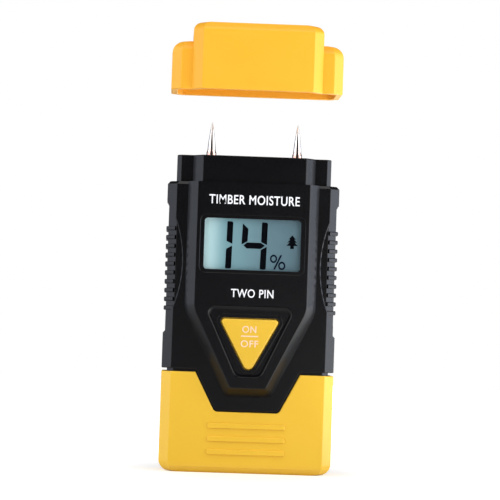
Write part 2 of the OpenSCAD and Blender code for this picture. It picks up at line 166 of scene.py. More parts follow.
class Solid:
    """A closed shape in millimetres: + joins two, - cuts one away and & keeps what they share."""

    def __init__(self, mesh):
        self.mesh = mesh

    def combined(self, other, operation):
        objects = [bpy.data.objects.new("shape", s.mesh) for s in (self, other)]
        for o in objects:
            bpy.context.scene.collection.objects.link(o)
        modifier = objects[0].modifiers.new("combine", "BOOLEAN")
        modifier.object = objects[1]
        modifier.operation = operation
        modifier.solver = "MANIFOLD"
        seen = objects[0].evaluated_get(bpy.context.evaluated_depsgraph_get())
        mesh = bpy.data.meshes.new_from_object(seen)
        for o in objects:
            bpy.data.objects.remove(o)
        return Solid(mesh)

    def __add__(self, other):
        return self.combined(other, "UNION")

    def __sub__(self, other):
        return self.combined(other, "DIFFERENCE")

    def __and__(self, other):
        return self.combined(other, "INTERSECT")


def closed(bm):
    """A Solid from a bmesh whose faces close up, all of them turned to face outwards."""
    bmesh.ops.recalc_face_normals(bm, faces=bm.faces)
    mesh = bpy.data.meshes.new("shape")
    bm.to_mesh(mesh)
    bm.free()
    return Solid(mesh)


def loft(rings):
    """A skin over rings of points that all have the same count, closed at both ends."""
    bm = bmesh.new()
    rows = [[bm.verts.new(p) for p in ring] for ring in rings]
    count = len(rows[0])
    for low, high in zip(rows, rows[1:]):
        for i in range(count):
            j = (i + 1) % count
            bm.faces.new((low[i], low[j], high[j], high[i]))
    bm.faces.new(reversed(rows[0]))
    bm.faces.new(rows[-1])
    return closed(bm)


def level(shape, z):
    """A ring from a shape drawn in X and Y."""
    return [(p.x, p.y, z) for p in shape]


def facing(shape, y):
    """A ring from a shape drawn in X and Z."""
    return [(p.x, y, p.y) for p in shape]


def prism(shape, low, high, ease_low=0.0, ease_high=0.0, ring=level):
    """A straight solid of shape(grow) from low to high, with rounded rims. A negative ease flares."""
    def rim(ease):
        if not ease:
            return [(0.0, 0.0)]
        return [(d, math.copysign(inset, -ease)) for d, inset in quarter(abs(ease))]
    rows = [(low + d, grow) for d, grow in rim(ease_low)]
    rows += [(high - d, grow) for d, grow in reversed(rim(ease_high))]
    return loft([ring(shape(grow), at) for at, grow in rows])


def hole(shape, mouth, floor, flare, ring=facing):
    """What to cut away for a hole that opens at mouth, with a rounded rim of radius flare."""
    way = math.copysign(1, floor - mouth)
    rims = [(mouth - way, flare)] + [(mouth + way * d, g) for d, g in quarter(flare)] + [(floor, 0)]
    return loft([ring(shape(grow), at) for at, grow in rims])


def slab(low, high):
    """A plain box."""
    corners = [(low[0], low[1]), (high[0], low[1]), (high[0], high[1]), (low[0], high[1])]
    return loft([[(x, y, z) for x, y in corners] for z in (low[2], high[2])])


def mirrored(solid):
    """The same shape on the other side of the meter."""
    bm = bmesh.new()
    bm.from_mesh(solid.mesh)
    for v in bm.verts:
        v.co.x = -v.co.x
    bmesh.ops.reverse_faces(bm, faces=bm.faces)
    mesh = bpy.data.meshes.new("shape")
    bm.to_mesh(mesh)
    bm.free()
    return Solid(mesh)


def both_sides(solid):
    return solid + mirrored(solid)


def rectangle(half_w, low, high, radius):
    """A function of growth for a rounded rectangle."""
    corners = [(-half_w, low), (half_w, low), (half_w, high), (-half_w, high)]
    return lambda grow: outline(corners, radius, grow)


def turned(profile, x, y, steps=48):
    """A solid of revolution about an upright axis, from pairs of radius and height."""
    angles = [2 * math.pi * i / steps for i in range(steps)]
    return loft([[(x + r * math.cos(a), y + r * math.sin(a), z) for a in angles]
                 for r, z in profile])


def turned_facing(profile, x, z, steps=32):
    """A solid of revolution about an axis along Y, from pairs of radius and depth."""
    angles = [2 * math.pi * i / steps for i in range(steps)]
    return loft([[(x + r * math.cos(a), y, z + r * math.sin(a)) for a in angles]
                 for r, y in profile])


# ---------------------------------------------------------------- outlines of this meter
def case_outline(side_in, depth_in, grow=0.0, radius=0.45):
    """The case seen from above, its sides set in by side_in and its front and back by depth_in."""
    half, front, back = HALF_W - side_in, WING_Y + depth_in, BACK_Y - depth_in
    bevel = SIDE_BEVEL - (2 - math.sqrt(2)) * min(side_in, depth_in)
    inner = half - bevel
    corners = [(-inner, front), (inner, front), (half, front + bevel), (half, back - bevel),
               (inner, back), (-inner, back), (-half, back - bevel), (-half, front + bevel)]
    return outline(corners, radius, grow)


def case_skin(inset):
    """A function of growth for the case's outline with its skin set in."""
    return lambda grow: case_outline(inset, inset, grow)


def neck_front(inset):
    """The raised front of the neck seen from above, with its skin set in."""
    side = PANEL_HALF_W - inset * PANEL_EDGE_SHIFT
    front = side - PANEL_BEVEL
    foot = WING_Y + inset
    corners = [(-front, FRONT_Y + inset), (front, FRONT_Y + inset), (side, foot), (side, foot + 2),
               (-side, foot + 2), (-side, foot)]
    return lambda grow: outline(corners, [0.6, 0.6, 0.05, 0.05, 0.05, 0.05], grow)


def panel_ring(grow, y, top):
    """The tapering panel seen from the front. Its top edge stays level with the shoulder."""
    tall = top + 10
    corners = [(-PANEL_FOOT_HALF_W, PANEL_FOOT_Z), (PANEL_FOOT_HALF_W, PANEL_FOOT_Z),
               (PANEL_HALF_W, PANEL_BEND_Z), (PANEL_HALF_W, tall), (-PANEL_HALF_W, tall),
               (-PANEL_HALF_W, PANEL_BEND_Z)]
    bends = [3.6, 3.6, PANEL_BEND_R, 0.1, 0.1, PANEL_BEND_R]
    return [(p.x, y, min(p.y, top)) for p in outline(corners, bends, grow, 8)]


def notch(gap, top=CASE_FOOT_Z + 1):
    """The notch in the boot's front, or with a gap the tongue that fills it."""
    slope = (NOTCH_TOP_HALF_W - NOTCH_FOOT_HALF_W) / (BOOT_HIGH.z - NOTCH_FOOT_Z)
    half_top = NOTCH_TOP_HALF_W + slope * (top - BOOT_HIGH.z)
    corners = [(-NOTCH_FOOT_HALF_W, NOTCH_FOOT_Z), (NOTCH_FOOT_HALF_W, NOTCH_FOOT_Z),
               (half_top, top), (-half_top, top)]
    return lambda grow: outline(corners, [NOTCH_CORNER_R, NOTCH_CORNER_R, 0.1, 0.1], grow - gap)


def key_outline(grow):
    """The key's rounded triangle, point down."""
    x, z = KEY_CORNER
    return outline([KEY_TIP, (x, z), (-x, z)], [1.9, 1.0, 1.0], grow, 10)


def well_outline(grow):
    """The shallow well in the panel around the key."""
    corners = [(-4.4, 31.7), (4.4, 31.7), (15.6, 55.7), (-15.6, 55.7)]
    return outline(corners, [3.2, 3.2, 2.6, 2.6], grow, 8)


# ---------------------------------------------------------------- shells
def panel_solid(inset, top):
    """The raised panel: a bevelled slab, its skin set in by inset."""
    edge = -inset * PANEL_EDGE_SHIFT
    foot, face = WING_Y + inset, FRONT_Y + INK + inset
    steps = [(foot + 1.4, edge), (foot, edge)]
    rim = 0.5
    for share in (0.5, 0.93):
        steps.append((foot + (face - foot) * share, edge - PANEL_BEVEL * share))
    steps += [(face + 0.08, edge - PANEL_BEVEL * 0.985), (face, edge - PANEL_BEVEL - rim * 0.3)]
    return loft([panel_ring(grow, y, top) for y, grow in steps])


def case_body():
    """Outside of both case halves without the grips."""
    chamfer = 0.9
    heights = [(CASE_FOOT_Z + d, inset) for d, inset in quarter(0.3)]
    heights += [(SHOULDER_Z - chamfer - 0.2, 0), (SHOULDER_Z - chamfer, 0.06),
                (SHOULDER_Z - 0.12, chamfer - 0.12), (SHOULDER_Z, chamfer + 0.1)]
    body = loft([level(case_outline(inset, inset * 0.6), z) for z, inset in heights])
    neck = prism(case_skin(NECK_INSET), SHOULDER_Z - 1, NECK_TOP_Z, 0, 0.35)
    neck_rise = prism(neck_front(NECK_INSET), SHOULDER_Z - 1, NECK_TOP_Z, 0, 0.35)
    skirt = prism(case_skin(SKIRT_INSET), SKIRT_FOOT_Z, CASE_FOOT_Z + 0.6, 0.3, 0)
    tongue = prism(notch(0.5, CASE_FOOT_Z + 0.8), WING_Y, WING_Y + SKIRT_INSET + 0.6, 0.25, 0,
                   ring=facing)
    return body + neck + neck_rise + skirt + tongue + panel_solid(0, SHOULDER_Z)


def grip_cutter():
    """What is taken off the right side for the finger grip: a scoop with an arched edge."""
    edge = HALF_W - GRIP_DEPTH
    out, rise = 3, 2.3
    dip = [(edge, GRIP_LOW_Z + GRIP_DEPTH), (edge + out, GRIP_LOW_Z - rise),
           (edge + out, GRIP_HIGH_Z + rise), (edge, GRIP_HIGH_Z - GRIP_DEPTH)]
    sides = prism(lambda grow: outline(dip, 0.5, grow), WING_Y - 3, BACK_Y + 3, ring=facing)
    arc_x = GRIP_ARC_X + GRIP_ARC_R
    scoop = turned_facing([(GRIP_ARC_R + 0.3, WING_Y - 1), (GRIP_ARC_R + 0.3, WING_Y),
                           (GRIP_ARC_R, WING_Y + 0.3), (GRIP_ARC_R, BACK_Y - 0.3),
                           (GRIP_ARC_R + 0.3, BACK_Y), (GRIP_ARC_R + 0.3, BACK_Y + 1)],
                          arc_x, GRIP_ARC_Z, 256)
    reach = slab((GRIP_ARC_X - 1, WING_Y - 2, 50), (HALF_W + 2, BACK_Y + 2, 90))
    core = prism(case_skin(GRIP_DEPTH), 40, 95)
    return sides + (scoop & reach) - core


def grip_rib(z):
    """One rib on the right side: a bar that wraps from the front bevel round to the back one."""
    half = GRIP_RIB_T / 2
    start = HALF_W - SIDE_BEVEL + 0.25
    bar = prism(case_skin(0), z - half, z + half, 0.35, 0.35)
    return bar & slab((start, WING_Y - 1, z - half - 1), (HALF_W + 1, BACK_Y + 1, z + half + 1))


def case_hollow():
    """Space inside both case halves."""
    ledge = CASE_FOOT_Z + WALL
    room = prism(case_skin(WALL), ledge, SHOULDER_Z - WALL)
    bay = prism(case_skin(SKIRT_INSET + 1.2), SKIRT_FOOT_Z - 1, ledge + 0.5)
    neck = prism(case_skin(NECK_INSET + WALL), SHOULDER_Z - WALL - 0.5, NECK_TOP_Z - WALL)
    behind_panel = panel_solid(WALL, SHOULDER_Z - WALL)
    behind_panel = behind_panel & slab((-PAST_X, -PAST_Y, ledge), (PAST_X, 0, PAST_Z))
    return room + bay + neck + behind_panel


def case_whole():
    """Both halves as one shell, with grips, ready to be parted at the seam."""
    shell = case_body() - both_sides(grip_cutter())
    for i in range(GRIP_RIBS):
        shell = shell + both_sides(grip_rib(GRIP_FIRST_Z + i * GRIP_PITCH))
    shell = shell - case_hollow()
    line = 0.12
    groove = (slab((-PAST_X, SEAM_Y - line, SKIRT_FOOT_Z - 1),
                   (PAST_X, SEAM_Y + line, NECK_TOP_Z + 1))
              - prism(case_skin(0.35), CASE_FOOT_Z - 0.2, SHOULDER_Z - 0.35)
              - prism(case_skin(NECK_INSET + 0.35), 0, NECK_TOP_Z - 0.35))
    return shell - groove


def add_collars(half):
    """Adds the collars that hold the needle sockets, and bores them."""
    for x in (-NEEDLE_X, NEEDLE_X):
        half = half + turned([(COLLAR_R, SHOULDER_Z - WALL - 0.2), (COLLAR_R, NECK_TOP_Z - 0.5)],
                             x, 0)
    mouth_r = 3.3
    for x in (-NEEDLE_X, NEEDLE_X):
        half = half - turned([(SOCKET_R, SHOULDER_Z - 4), (SOCKET_R, NECK_TOP_Z - 0.25),
                              (mouth_r, NECK_TOP_Z + 0.02), (mouth_r, NECK_TOP_Z + 2)], x, 0)
    return half


def cut_window(half):
    """Cuts the window and its shallow bezel."""
    def opening(border, radius):
        return rectangle(WINDOW_HALF_W + border * 1.3, WINDOW_Z - WINDOW_HALF_H - border,
                         WINDOW_Z + WINDOW_HALF_H + border, radius)
    half = half - hole(opening(1, 1.9), FRONT_Y, FRONT_Y + BEZEL_DEPTH, 0.32)
    return half - hole(opening(0, 1.1), FRONT_Y + BEZEL_DEPTH, WING_Y, 0.12)


def cut_key_well(half):
    """Sinks the well and leaves a raised ring in it, with a hole for the key and room behind."""
    rings = ((-1, 0.06), (0, 0.06), (0.04, 0), (0.5, -0.22), (0.72, -0.6), (WELL_DEPTH, -1.3))
    half = half - loft([facing(well_outline(grow), FRONT_Y + y) for y, grow in rings])
    half = half + prism(lambda grow: key_outline(grow + 1.7), FRONT_Y + WELL_DEPTH / 2,
                        FRONT_Y + WELL_DEPTH * 1.5, 0.3, 0, ring=facing)
    half = half - prism(lambda grow: key_outline(grow + 1.5), FRONT_Y + WALL, WING_Y + 2,
                        ring=facing)
    return half - hole(lambda grow: key_outline(grow + KEY_GAP), FRONT_Y + WELL_DEPTH / 2,
                       WING_Y + 2, 0.15)


def front_shell(shell):
    """The front half, with window, key well and needle collars."""
    half = shell & slab((-PAST_X, -PAST_Y, 0), (PAST_X, SEAM_Y, PAST_Z))
    return cut_key_well(cut_window(add_collars(half)))


def rear_shell(shell):
    """The back half, with screw wells and the recess for the label."""
    half = shell & slab((-PAST_X, SEAM_Y, 0), (PAST_X, PAST_Y, PAST_Z))
    post_r, well_r, well_foot = 3.4, 2.6, BACK_Y - 2.4
    for x, z in SCREW_PLACES:
        half = half + turned_facing([(post_r, SEAM_Y), (post_r, BACK_Y - 1)], x, z)
        half = half - turned_facing([(1.5, SEAM_Y - 1), (1.5, well_foot), (well_r, well_foot),
                                     (well_r, BACK_Y - 0.2), (well_r + 0.2, BACK_Y),
                                     (well_r + 0.2, BACK_Y + 1)], x, z)
    gap = 0.2
    recess = rectangle(LABEL_HIGH.x + gap, LABEL_LOW.z - gap, LABEL_HIGH.z + gap, 1.2)
    return half - hole(recess, BACK_Y, BACK_Y - 0.3, 0.1)


def boot_rib(z):
    """One raised bar across the boot's front."""
    half_w, half_h, rise = 12.9, 0.87, 0.5
    bar = rectangle(half_w, z - half_h, z + half_h, 0.35)
    rings = [(WING_Y + 0.6, 0)]
    rings += [(WING_Y - rise + d, -inset) for d, inset in reversed(quarter(0.28))]
    return loft([facing(bar(grow), y) for y, grow in rings])


def boot_shell():
    """The boot: a sleeve with a bevelled foot, a notch in front and three grip ribs."""
    corner, bevel, edge_r = 4.0, 2.0, 0.55
    wall, floor = 1.5, 1.8
    rings = []
    for i in range(11):
        z = corner * i / 10
        side_in = corner - math.sqrt(corner ** 2 - (corner - z) ** 2)
        depth_in = max(bevel - z, 0)
        depth_in += 0.12 * math.exp(-((z - bevel) / 0.5) ** 2)
        rings.append(level(case_outline(side_in, depth_in, radius=edge_r), z))
    rings += [level(case_outline(0, 0, -inset, radius=edge_r), BOOT_HIGH.z - d)
              for d, inset in reversed(quarter(0.45))]
    shell = loft(rings) - prism(case_skin(wall), floor, BOOT_HIGH.z + 1, 0.6, 0)
    shell = shell - hole(notch(0), WING_Y, WING_Y + 3, 0.4)
    for i in range(3):
        shell = shell + boot_rib(7 + 4.35 * i)
    return shell


def cap_block_outline(inset, grow=0.0):
    """The cap's middle block seen from above, with its skin set in."""
    side = PANEL_HALF_W - inset
    front = PANEL_HALF_W - PANEL_BEVEL - inset * PANEL_EDGE_SHIFT
    foot, face, back = WING_Y + inset, FRONT_Y + inset, BACK_Y - inset
    corners = [(-front, face), (front, face), (side, foot), (side, back - SIDE_BEVEL),
               (side - SIDE_BEVEL, back), (SIDE_BEVEL - side, back), (-side, back - SIDE_BEVEL),
               (-side, foot)]
    return outline(corners, 0.6, grow)


def dome(top, side_r, bevel, steps=8):
    """Heights under a top face, with the insets of the round sides and bevelled front there."""
    rows = []
    for i in range(steps + 1):
        angle = math.pi / 2 * i / steps
        z = top - side_r * (1 - math.sin(angle))
        side_in = side_r * (1 - math.cos(angle))
        depth_in = max(bevel - (top - z), 0)
        near = (top - z - bevel) / 0.6
        depth_in += 0.15 * math.exp(-near * near)
        rows.append((z, side_in, depth_in))
    return rows


def cap_solid(inset, top_wall, mouth):
    """The cap's outside, or with an inset the space in it. mouth lists the rim's rings."""
    wing_top = CAP_LOW.z + CAP_WING_H - inset
    block_top = CAP_HIGH.z - top_wall
    wings = [level(case_outline(inset, inset, grow, radius=0.6), z) for z, grow in mouth]
    wings += [level(case_outline(inset + side_in, inset + depth_in, radius=0.6), z)
              for z, side_in, depth_in in dome(wing_top, 4 - inset * 0.8, 2.4 - inset * 0.6)]
    block = [level(cap_block_outline(inset, grow), z) for z, grow in mouth]
    shape = cap_block_outline(inset)
    wide = max(p.x for p in shape)
    deep = max(abs(p.y) for p in shape)
    for z, side_in, depth_in in dome(block_top, 2.8 - inset * 0.8, 2.4 - inset * 0.6):
        block.append([(p.x * (wide - side_in) / wide, p.y * (deep - depth_in) / deep, z)
                      for p in shape])
    return loft(wings) + loft(block)


def cap_shell():
    """The hollow cap."""
    rim, flare = 0.4, 0.25
    mouth = [(CAP_LOW.z + d, -inset) for d, inset in quarter(rim)]
    inner = [(CAP_LOW.z - 1, flare)] + [(CAP_LOW.z + d, g) for d, g in quarter(flare)]
    space = cap_solid(CAP_WALL, CAP_TOP_T, inner)
    rise = loft([level(neck_front(CAP_WALL)(grow), z) for z, grow in
                 inner + [(CAP_LOW.z + CAP_WING_H - CAP_WALL, 0)]])
    return cap_solid(0, 0, mouth) - (space + rise)


# ---------------------------------------------------------------- making a piece
def piece(name, solid, body, finish, replaces=(), crease=28):
    """Puts a solid in the scene in metres, with rounded shading, riding on its body."""
    bm = bmesh.new()
    bm.from_mesh(solid.mesh)
    bmesh.ops.remove_doubles(bm, verts=bm.verts, dist=0.0005)
    bmesh.ops.dissolve_limit(bm, angle_limit=math.radians(0.3), verts=bm.verts, edges=bm.edges)
    bmesh.ops.scale(bm, vec=(MM, MM, MM), verts=bm.verts)
    mesh = bpy.data.meshes.new(name)
    bm.to_mesh(mesh)
    bm.free()
    mesh.shade_smooth()
    mesh.set_sharp_from_angle(angle=math.radians(crease))
    made = bpy.data.objects.new(name, mesh)
    bpy.context.scene.collection.objects.link(made)
    weighted = made.modifiers.new("shading", "WEIGHTED_NORMAL")
    weighted.keep_sharp = True
    weighted.weight = 80
    mesh.materials.append(finish)
    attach(made, body)
    if replaces:
        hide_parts(*replaces)


# ---------------------------------------------------------------- small parts
def key_solid():
    """The key: a rounded triangle with a soft rim and a flange behind the panel."""
    flange_t = 0.75
    button = prism(key_outline, KEY_LOW.y, KEY_HIGH.y - 0.1, 0.6, 0, ring=facing)
    flange = prism(lambda grow: key_outline(grow + 1.0), KEY_HIGH.y - flange_t, KEY_HIGH.y, 0.1,
                   0.1, ring=facing)
    return button + flange


def lens_solid():
    """The clear window: a flat plate with rounded corners."""
    plate = rectangle(LENS_HIGH.x, LENS_LOW.z, LENS_HIGH.z, 1.0)
    return prism(plate, LENS_LOW.y, LENS_HIGH.y, 0.12, 0, ring=facing)


def needle_solid(x):
    """A turned needle: shank, collar and a long point with slightly full sides."""
    shank, collar, tip, cone_low = 1.65, 1.9, 0.08, 1.5
    cone_foot, swell = shank * 0.86, shank * 0.38
    base = NECK_TOP_Z
    cone_h = NEEDLE_HIGH.z - base - cone_low
    profile = [(shank, SHOULDER_Z + 1), (shank, base + 0.05), (collar, base + 0.1),
               (collar, base + 0.55), (shank, base + 0.6), (shank, base + cone_low)]
    steps = 16
    for i in range(1, steps + 1):
        t = i / steps
        radius = cone_foot * (1 - t) + swell * t * (1 - t) + tip * t
        profile.append((radius, base + cone_low + cone_h * t))
    return turned(profile, x, 0)


def screw_heads():
    """Four pan heads with crossed slots, sunk in the back."""
    top = BACK_Y - 0.6
    heads = []
    for x, z in SCREW_PLACES:
        head = turned_facing([(1.2, SEAM_Y), (1.2, top - 1.7), (2.4, top - 1.7),
                              (2.4, top - 0.5), (2.1, top - 0.15), (1.5, top)], x, z)
        for wide, tall in ((1.4, 0.3), (0.3, 1.4)):
            head = head - slab((x - wide, top - 0.8, z - tall), (x + wide, top + 1, z + tall))
        heads.append(head)
    return functools.reduce(Solid.__add__, heads)


def plates(shapes, low, high):
    """Thin flat plates seen from the front, one for each shape."""
    bm = bmesh.new()
    for shape in shapes:
        rings = [[bm.verts.new((x, y, z)) for x, z in shape] for y in (low, high)]
        for i in range(len(shape)):
            j = (i + 1) % len(shape)
            bm.faces.new((rings[0][i], rings[0][j], rings[1][j], rings[1][i]))
        bm.faces.new(reversed(rings[0]))
        bm.faces.new(rings[1])
    return closed(bm)


def lettering(words, left, right, foot, height, low, high, bold):
    """Words in the plain built-in letters, fitted between left and right on a foot line."""
    curve = bpy.data.curves.new("words", "FONT")
    curve.body = words
    curve.offset = bold
    curve.space_character = 1.08
    curve.extrude = 0.5
    curve.resolution_u = 5
    made = bpy.data.objects.new("words", curve)
    bpy.context.scene.collection.objects.link(made)
    mesh = bpy.data.meshes.new_from_object(made.evaluated_get(bpy.context.evaluated_depsgraph_get()))
    bpy.data.objects.remove(made)
    xs = [v.co.x for v in mesh.vertices]
    ys = [v.co.y for v in mesh.vertices]
    wide, tall = max(xs) - min(xs), max(ys) - min(ys)
    x_from, y_from = min(xs), min(ys)
    for v in mesh.vertices:
        across, up, out = v.co
        v.co = (left + (across - x_from) / wide * (right - left),
                low if out > 0 else high,
                foot + (up - y_from) / tall * height)
    return Solid(mesh)


# Bars of one figure on the display, measured from the foot of its right-hand side
FIGURE_BARS = {
    "high left": [(-8.35, 8.1), (-6.35, 9.2), (-6.25, 13.4), (-8.1, 15.1)],
    "middle": [(-7.7, 7.83), (-6.6, 6.83), (-1.9, 6.83), (-0.6, 7.95), (-1.9, 8.83), (-6.6, 8.83)],
    "high right": [(-1.85, 9.1), (0.1, 8.2), (0.2, 15.2), (-0.1, 15.6), (-1.4, 15.7),
                   (-1.75, 15.5)],
    "low right": [(-2.05, 0.3), (-1.8, 0), (-0.4, 0), (-0.05, 0.4), (0.05, 7.6), (-1.9, 6.5)],
}
FIGURES = {"1": ("high right", "low right"),
           "4": ("high left", "middle", "high right", "low right")}


def display_marks():
    """The reading 14 and a small tree."""
    shapes = []
    foot = 67.9
    for figure, x in (("1", -6.75), ("4", 4.75)):
        for bar in FIGURES[figure]:
            shapes.append([(x + a, foot + b) for a, b in FIGURE_BARS[bar]])
    tree_x, trunk_foot = 13.2, 75.1
    half = [(0.6, trunk_foot), (0.6, 76.1), (1.9, 76.1), (0.85, 77.2), (1.6, 77.2),
            (0.65, 78.2), (1.2, 78.2), (0, 79.6)]
    shapes.append([(tree_x + a, b) for a, b in half]
                  + [(tree_x - a, b) for a, b in reversed(half[:-1])])
    return shapes


def percent_marks():
    """The strokes of the percent sign."""
    shapes = [[(7.2, 68.1), (7.8, 68.1), (10.0, 72.9), (9.4, 72.9)]]
    steps, inner, outer, narrow = 20, 0.8, 1.4, 0.86
    for x, z in ((7.2, 71.6), (10.0, 69.35)):
        for i in range(steps):
            a, b = (2 * math.pi * j / steps for j in (i, i + 1))
            shapes.append([(x + r * narrow * math.cos(t), z + r * math.sin(t))
                           for r, t in ((inner, a), (outer, a), (outer, b), (inner, b))])
    return shapes


# ---------------------------------------------------------------- shaders
def tint(red, green, blue):
    """A colour from screen values of 0 to 255, made linear for the shader."""
    def linear(value):
        share = value / 255
        return share / 12.92 if share < 0.04045 else ((share + 0.055) / 1.055) ** 2.4
    return (linear(red), linear(green), linear(blue), 1.0)


class Wire:
    """One output of a shader node. A sum or product of wires adds Math nodes."""

    def __init__(self, finish, socket):
        self.finish = finish
        self.socket = socket

    def math(self, operation, first, second=0.0):
        return self.finish.node("Math", {"operation": operation}, {0: first, 1: second})

    def __add__(self, other):
        return self.math("ADD", self, other)

    __radd__ = __add__

    def __sub__(self, other):
        return self.math("SUBTRACT", self, other)

    def __mul__(self, other):
        return self.math("MULTIPLY", self, other)

    __rmul__ = __mul__

    def __abs__(self):
        return self.math("ABSOLUTE", self)

    def below(self, limit):
        """1 under limit, otherwise 0."""
        return self.math("LESS_THAN", self, limit)

    def near(self, place, reach):
        """1 within reach of place, otherwise 0."""
        return abs(self - place).below(reach)

    def wave(self):
        return self.math("SINE", self)


class Finish:
    """A material being made up out of shader nodes."""

    def __init__(self, name):
        self.material = bpy.data.materials.new(name)
        self.material.use_nodes = True
        self.tree = self.material.node_tree
        self.tree.nodes.clear()
        self.place = self.node("TexCoord", out="Object")

    def node(self, kind, settings=None, inputs=None, out=0):
        """Any node: its settings first, then the values or wires of its inputs."""
        made = self.tree.nodes.new("ShaderNode" + kind)
        for name, value in (settings or {}).items():
            setattr(made, name, value)
        for name, value in (inputs or {}).items():
            if isinstance(value, Wire):
                self.tree.links.new(value.socket, made.inputs[name])
            else:
                made.inputs[name].default_value = value
        return Wire(self, made.outputs[out])

    def along(self, axis):
        return self.node("SeparateXYZ", None, {0: self.place}, axis)

    def noise(self, scale, detail=2.0, rough=0.5, stretch=(1, 1, 1)):
        """Soft random values, with scale in waves to the metre."""
        place = self.node("Mapping", None, {"Vector": self.place, "Scale": stretch})
        return self.node("TexNoise", None, {"Vector": place, "Scale": scale, "Detail": detail,
                                            "Roughness": rough})

    def ramp(self, value, start, end):
        """0 at start and 1 at end, with a soft turn at both."""
        return self.node("MapRange", {"interpolation_type": "SMOOTHSTEP"},
                         {"Value": value, "From Min": start, "From Max": end})

    def blend(self, share, first, second):
        return self.node("Mix", {"data_type": "RGBA"}, {0: share, 6: first, 7: second}, 2)

    def relief(self, height, strength, distance):
        return self.node("Bump", None, {"Height": height, "Strength": strength,
                                        "Distance": distance})

    def surface(self, inputs):
        """Ends the material in a Principled shader."""
        return self.output(self.node("BsdfPrincipled", None, inputs))

    def output(self, shader):
        end = self.tree.nodes.new("ShaderNodeOutputMaterial")
        self.tree.links.new(shader.socket, end.inputs["Surface"])
        return self.material


def moulded(name, dark, light, grain_scale, roughness, relief, gloss):
    """Moulded plastic: fine spark grain and slow drifts of colour and polish."""
    f = Finish(name)
    grain = f.noise(grain_scale, 2.0, 0.6)
    drift = f.noise(60, 2.0)
    return f.surface({"Base Color": f.blend(drift, dark, light),
                      "Roughness": roughness + grain * 0.12 + drift * 0.06,
                      "Specular IOR Level": gloss,
                      "Normal": f.relief(grain, relief, 0.00004)})


def clear_window():
    """Clear plastic: see-through, with a gloss that grows at a slant and faint smears."""
    f = Finish("clear window")
    smear = f.noise(140, 3.0, 0.6)
    slant = f.node("LayerWeight", None, {"Blend": 0.5}, "Facing")
    through = f.node("BsdfTransparent", None, {"Color": (0.95, 0.97, 0.97, 1)})
    gloss = f.node("BsdfGlossy", None, {"Color": (1, 1, 1, 1), "Roughness": 0.03})
    share = slant.math("POWER", slant, 5.0) * 0.9 + 0.008 + smear * 0.008
    return f.output(f.node("MixShader", None, {0: share, 1: through, 2: gloss}))


def display_back():
    """The grey-green reflector behind the figures, with painted glare: lighter towards the left, near
    white at the far left.
    """
    f = Finish("display reflector")
    # Painted glare: the colour is made lighter towards the left and near white at the far left edge,
    # in place of a reflection on the display
    left = f.ramp(f.along("X"), 0.013, -0.0165)
    painted_glare = f.ramp(f.along("X"), -0.0085, -0.0158)
    grain = f.noise(9000, 1.0)
    colour = f.blend(left, tint(105, 129, 140), tint(144, 183, 192))
    colour = f.blend(painted_glare * 0.8, colour, tint(226, 253, 255))
    return f.surface({"Base Color": f.blend(grain * 0.08, colour, tint(60, 78, 86)),
                      "Roughness": 0.45 + grain * 0.1, "Specular IOR Level": 0.2,
                      "Normal": f.relief(grain, 0.05, 0.00001)})


def display_ink(name, colour):
    """Dark liquid-crystal marks with a faint violet cast."""
    f = Finish(name)
    cloud = f.noise(700)
    return f.surface({"Base Color": f.blend(cloud * 0.3, colour, tint(8, 10, 22)),
                      "Roughness": 0.5 + cloud * 0.1, "Specular IOR Level": 0.03})


def printed(name, colour, worn):
    """Printed ink that sits a little unevenly on the plastic."""
    f = Finish(name)
    cover = f.noise(2500, 3.0, 0.7)
    return f.surface({"Base Color": f.blend(cover * 0.35, colour, worn),
                      "Roughness": 0.5 + cover * 0.15,
                      "Normal": f.relief(cover, 0.15, 0.00002)})


def metal(name, colour, patina, roughness, scale=1500, stretch=(1, 1, 1)):
    """Bare or plated metal with fine tool marks and a thin patina."""
    f = Finish(name)
    marks = f.noise(scale, 3.0, 0.6, stretch)
    cloud = f.noise(250)
    return f.surface({"Base Color": f.blend(cloud * 0.6, colour, patina), "Metallic": 1.0,
                      "Roughness": roughness + marks * 0.12,
                      "Normal": f.relief(marks, 0.2, 0.00002)})


def needle_metal():
    """Nickel-plated needle: turned rings, and a copper glow near the foot."""
    f = Finish("nickel needle")
    height = f.along("Z")
    rings = f.node("TexNoise", {"noise_dimensions": "1D"}, {"W": height, "Scale": 6000,
                                                          "Detail": 2.0})
    copper = f.ramp(height, 0.109, 0.106)
    colour = f.blend(copper * 0.6, tint(232, 224, 220), tint(200, 124, 94))
    return f.surface({"Base Color": colour, "Metallic": 1.0,
                      "Roughness": 0.03 + rings * 0.05,
                      "Normal": f.relief(rings, 0.1, 0.00001)})


def circuit_board():
    """Green solder mask over copper tracks, with tinned rings."""
    f = Finish("circuit board")
    x, z = f.along("X"), f.along("Z")
    bend = f.noise(140, 1.0) * 9
    tracks = f.ramp((x * 5200 + bend).wave(), 0.55, 0.8)
    spots = f.node("TexVoronoi", {"feature": "F1"}, {"Vector": f.place, "Scale": 420})
    rings = f.ramp(spots, 0.2, 0.12)
    mask = f.blend(tracks * 0.7, tint(18, 74, 44), tint(40, 112, 62))
    colour = f.blend(rings * f.ramp(f.noise(90), 0.48, 0.56), mask, tint(196, 198, 196))
    return f.surface({"Base Color": colour, "Roughness": 0.34 + bend * 0.01,
                      "Normal": f.relief(tracks + (z * 300).wave() * 0.1, 0.4, 0.00003)})


def resin():
    """Black moulded chip with a slightly lighter dusty mottle."""
    f = Finish("chip resin")
    grain = f.noise(7000, 3.0)
    dust = f.noise(900)
    return f.surface({"Base Color": f.blend(dust * 0.5, tint(22, 22, 24), tint(44, 44, 48)),
                      "Roughness": 0.5 + grain * 0.2,
                      "Normal": f.relief(grain, 0.3, 0.00002)})


